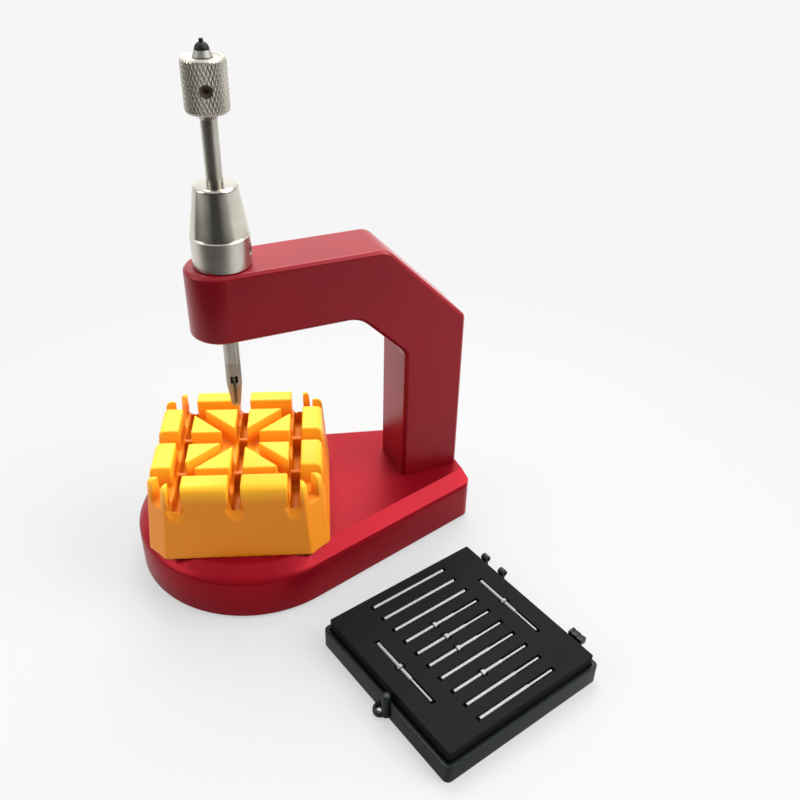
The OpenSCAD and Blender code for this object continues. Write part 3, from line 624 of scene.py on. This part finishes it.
def makeBoxShell():
    wide, long, high = boxShell["size"]
    side, wall = wide / 2, boxShell["wall"]
    tray = addCube(boxShell["size"], (0, 0, high / 2))
    tray.name = "boxShell"

    def upright(edge):
        return abs(edge.verts[0].co.z - edge.verts[1].co.z) > high / 2

    def onRim(edge):
        atTop = all(vert.co.z > high - hair for vert in edge.verts)
        return atTop and any(abs(face.normal.z) < 0.5 for face in edge.link_faces)

    bevelEdges(tray, boxShell["corner"], wideSteps, upright)
    bpy.ops.object.mode_set(mode="EDIT")
    choose(tray.data, "faces", lambda face: face.normal.z > 0.9)
    bpy.ops.mesh.inset(thickness=wall)
    pullOut(wall - high)
    bpy.ops.object.mode_set(mode="OBJECT")
    bevelEdges(tray, boxShell["rim"], fineSteps, onRim)
    addEars(tray, side)
    block = boxShell["block"]
    weldOn(tray, addFoot(block, side, block["along"], block["soft"]))
    weldOn(tray, addHingeBlock(side))
    loop = boxShell["loop"]
    weldOn(tray, addRing(loop["radius"], loop["bore"], loop["high"], loop["at"], (0, 0, 0), loop["soft"]))
    weldOn(tray, addPost())
    pick(tray)
    tray.rotation_euler = (0, 0, math.radians(boxShell["turn"]))
    tray.location = boxShell["at"]
    bpy.ops.object.transform_apply(location=True, rotation=True)
    bpy.ops.object.shade_smooth_by_angle(angle=math.radians(boxShell["smooth"]))
    return tray


finishPiece(makeBoxShell(), finishes["shellPlastic"], "pin_box", "pin_box_shell")
print("box shell")

# Camera where the photograph was taken, with its angles in degrees, and lens and sensor in millimetres
photoCamera = {
    "at": (-0.0446657, -0.2024861, 0.1895973), "aside": 25.039, "down": 34.032, "roll": 1.509,
    "lens": 39.911, "sensor": 36, "clip": (0.01, 20),
}


def addCamera():
    data = bpy.data.cameras.new("photoCamera")
    data.sensor_width = photoCamera["sensor"]
    data.lens = photoCamera["lens"]
    data.clip_start, data.clip_end = photoCamera["clip"]
    camera = bpy.data.objects.new("photoCamera", data)
    bpy.context.scene.collection.objects.link(camera)
    aside, down, roll = (math.radians(photoCamera[key]) for key in ("aside", "down", "roll"))
    ahead = Vector((math.cos(down) * math.sin(aside), math.cos(down) * math.cos(aside), -math.sin(down)))
    right = Vector((math.cos(aside), -math.sin(aside), 0))
    up = right.cross(ahead)
    right, up = right * math.cos(roll) + up * math.sin(roll), up * math.cos(roll) - right * math.sin(roll)
    turn = Matrix((right, up, -ahead)).transposed().to_4x4()
    camera.matrix_world = Matrix.Translation(photoCamera["at"]) @ turn
    bpy.context.scene.camera = camera


# Paper floor. Its dark part in front of the object is painted shade that stands for the dark room on the
# camera's side, only for the steel to mirror, and the camera never sees it: edge and turn set the line where
# it starts, left and right its width across the camera's view, and each blend how softly it ends. What the
# camera sees is in shown: paper with a glow that grows from lift near the object to white far from it
floorLook = {
    "size": 6.0, "sink": 0.00002, "paper": 0.34, "dark": 0.04,
    "edge": -0.1, "edgeBlend": 0.05, "turn": 47,
    "left": 0.76, "leftBlend": 0.06, "right": 0.84, "rightBlend": 0.08,
    "shown": {
        "middle": (0.02, -0.03), "near": 0.07, "far": 0.22, "paper": 0.17, "lift": 0.51,
        "white": 0.92, "mirrored": 0.44,
    },
}


def addFloor():
    floor = addPrimitive("plane", size=floorLook["size"], location=(0, 0, -floorLook["sink"]))
    floor.name = "floor"
    finish = makeFinish("floorPaper")
    x, y = finish.place()[:2]
    turn, aside = math.radians(floorLook["turn"]), math.radians(photoCamera["aside"])
    ahead = x * math.cos(turn) + y * math.sin(turn)
    pastEdge = ahead.between(floorLook["edge"] - floorLook["edgeBlend"], floorLook["edge"])
    rightward = x * math.cos(aside) - y * math.sin(aside)

    def beyond(way, limit, blend):
        return way.between(limit - blend, limit + blend)

    pastRight = beyond(rightward, floorLook["right"], floorLook["rightBlend"])
    pastLeft = beyond(rightward * -1, floorLook["left"], floorLook["leftBlend"])
    isPaper = pastEdge.maths("MAXIMUM", pastRight.maths("MAXIMUM", pastLeft))
    # dark beyond the edge: painted shade for the steel to mirror
    lit = finish.mix(isPaper, grey(floorLook["dark"]), grey(floorLook["paper"]))
    # white away from the object, with a shadow that is lighter than the lamps would leave
    shown = floorLook["shown"]
    across, along = x - shown["middle"][0], y - shown["middle"][1]
    distance = (across * across + along * along).maths("POWER", 0.5)
    away = distance.between(shown["near"], shown["far"])
    seen = finish.ray("Is Camera Ray")
    sheet = finish.mix(away, grey(shown["paper"]), grey(0))
    paper = finish.node("ShaderNodeBsdfDiffuse", sockets={"Color": finish.mix(seen, lit, sheet)})
    # the steel mirrors some of the same white, but not in the dark part
    mirrored = finish.ray("Is Glossy Ray") * isPaper * shown["mirrored"]
    strength = (seen + mirrored) * (away * (shown["white"] - shown["lift"]) + shown["lift"])
    glow = finish.node("ShaderNodeEmission", sockets={"Color": grey(1), "Strength": strength})
    both = finish.node("ShaderNodeAddShader", sockets=[paper, glow])
    finish.node("ShaderNodeOutputMaterial", sockets={"Surface": both})
    paint(floor, finish.owner)


# Room: dark on the camera's side, and brightest above and behind the object
roomLight = {
    "back": 1.7, "front": 0.10, "white": 0.92, "way": (0.15, 0.62, 0.77), "from": -0.35, "to": 1.0,
}


def lightRoom():
    world = bpy.data.worlds.new("room")
    bpy.context.scene.world = world
    finish = Finish(world)
    x, y, z = finish.place("Generated")
    across, along, high = roomLight["way"]
    back = (x * across + y * along + z * high).between(roomLight["from"], roomLight["to"])
    light = back * (roomLight["back"] - roomLight["front"]) + roomLight["front"]
    seen = (finish.ray("Is Camera Ray") + finish.ray("Is Transmission Ray")).maths("MINIMUM", 1.0)
    strength = seen * (roomLight["white"] - light) + light
    sky = finish.node("ShaderNodeBackground", sockets={"Color": grey(1), "Strength": strength})
    finish.node("ShaderNodeOutputWorld", sockets={"Surface": sky})


lamps = {
    "topSoftbox": {"at": (0.5, 1.1, 2.0), "to": (0.03, 0, 0.03), "size": (1.4, 1.1), "power": 52.0},
    "rightSoftbox": {"at": (1.25, -0.76, 1.22), "to": (0.03, 0, 0.03), "size": (1.4, 1.1), "power": 40.0},
    "leftSoftbox": {"at": (-1.5, 0.2, 0.8), "to": (0, 0, 0.06), "size": (0.8, 1.0), "power": 10.0},
}


def addLamps():
    for name, facts in lamps.items():
        data = bpy.data.lights.new(name, "AREA")
        data.shape = "RECTANGLE"
        data.size, data.size_y = facts["size"]
        data.energy = facts["power"]
        lamp = bpy.data.objects.new(name, data)
        bpy.context.scene.collection.objects.link(lamp)
        lamp.location = facts["at"]
        lamp.rotation_mode = "QUATERNION"
        lamp.rotation_quaternion = (Vector(facts["to"]) - Vector(facts["at"])).to_track_quat("-Z", "Y")


addCamera()
addFloor()
lightRoom()
addLamps()
bpy.context.scene.view_settings.view_transform = "Standard"
print("camera, floor and light")
